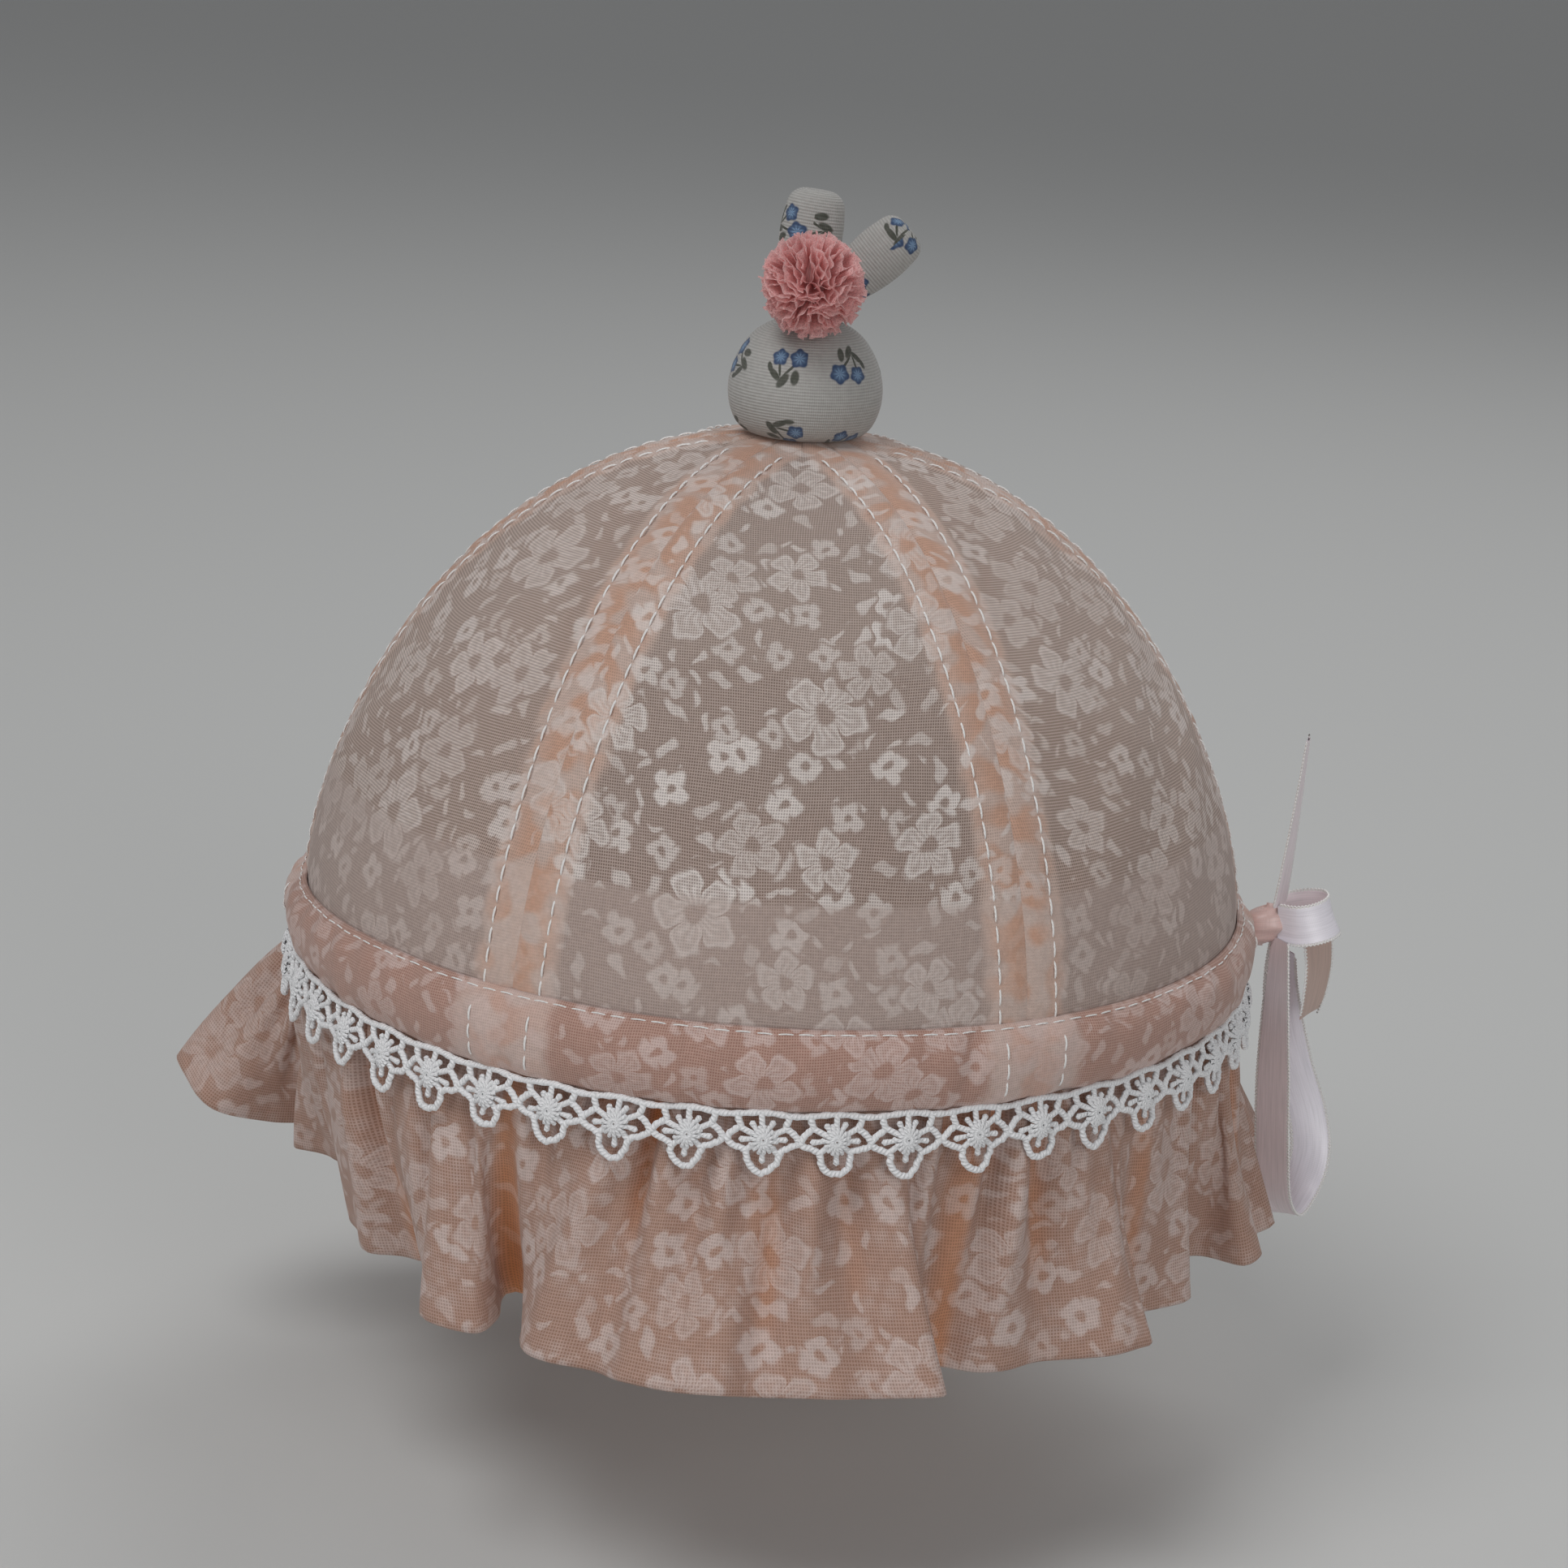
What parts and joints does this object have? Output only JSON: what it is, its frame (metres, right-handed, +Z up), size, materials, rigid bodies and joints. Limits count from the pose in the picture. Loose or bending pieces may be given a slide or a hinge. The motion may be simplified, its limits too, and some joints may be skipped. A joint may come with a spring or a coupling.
{
  "type": "baby sun cap",
  "caption": "Gored sheer baby cap with a folded band, flower lace, a gathered ruffle, a stuffed topper with a pompom and a ribbon bow.",
  "frame": {"origin": "centre of the head opening, in the plane of the band's lower edge", "axes": "+Z up through the crown, the front faces -Y, +X is the wearer's left, where the bow hangs"},
  "size_m": [0.1991, 0.1784, 0.1666],
  "materials": {
    "voile": "sheer peach cotton voile with a white flower print",
    "voile_seam": "doubled sheer peach voile behind a topstitched seam",
    "voile_band": "folded peach voile with a white flower print",
    "voile_ruffle": "single peach voile with a white flower print, gathered",
    "lace": "white corded cotton lace",
    "cotton_print": "off-white ribbed cotton with small blue flowers",
    "tulle": "pink tulle net",
    "satin": "pale pink satin ribbon"
  },
  "bodies": {
    "root": {"crown_panel_front": "voile", "crown_panel_front_right": "voile", "crown_panel_back_right": "voile", "crown_panel_back": "voile", "crown_panel_back_left": "voile", "crown_panel_front_left": "voile", "seam_strip_1": "voile_seam", "seam_strip_2": "voile_seam", "seam_strip_3": "voile_seam", "seam_strip_4": "voile_seam", "seam_strip_5": "voile_seam", "seam_strip_6": "voile_seam", "inner_facing": "voile", "band": "voile_band", "lace_trim": "lace", "ruffle": "voile_ruffle", "topper_ball": "cotton_print", "topper_ear_left": "cotton_print", "topper_ear_right": "cotton_print", "pompom": "tulle", "ribbon_knot": "satin", "ribbon_loop_short": "satin", "ribbon_loop_long": "satin", "ribbon_tail_down": "satin", "ribbon_tail_up": "satin"}
  },
  "joints": []
}
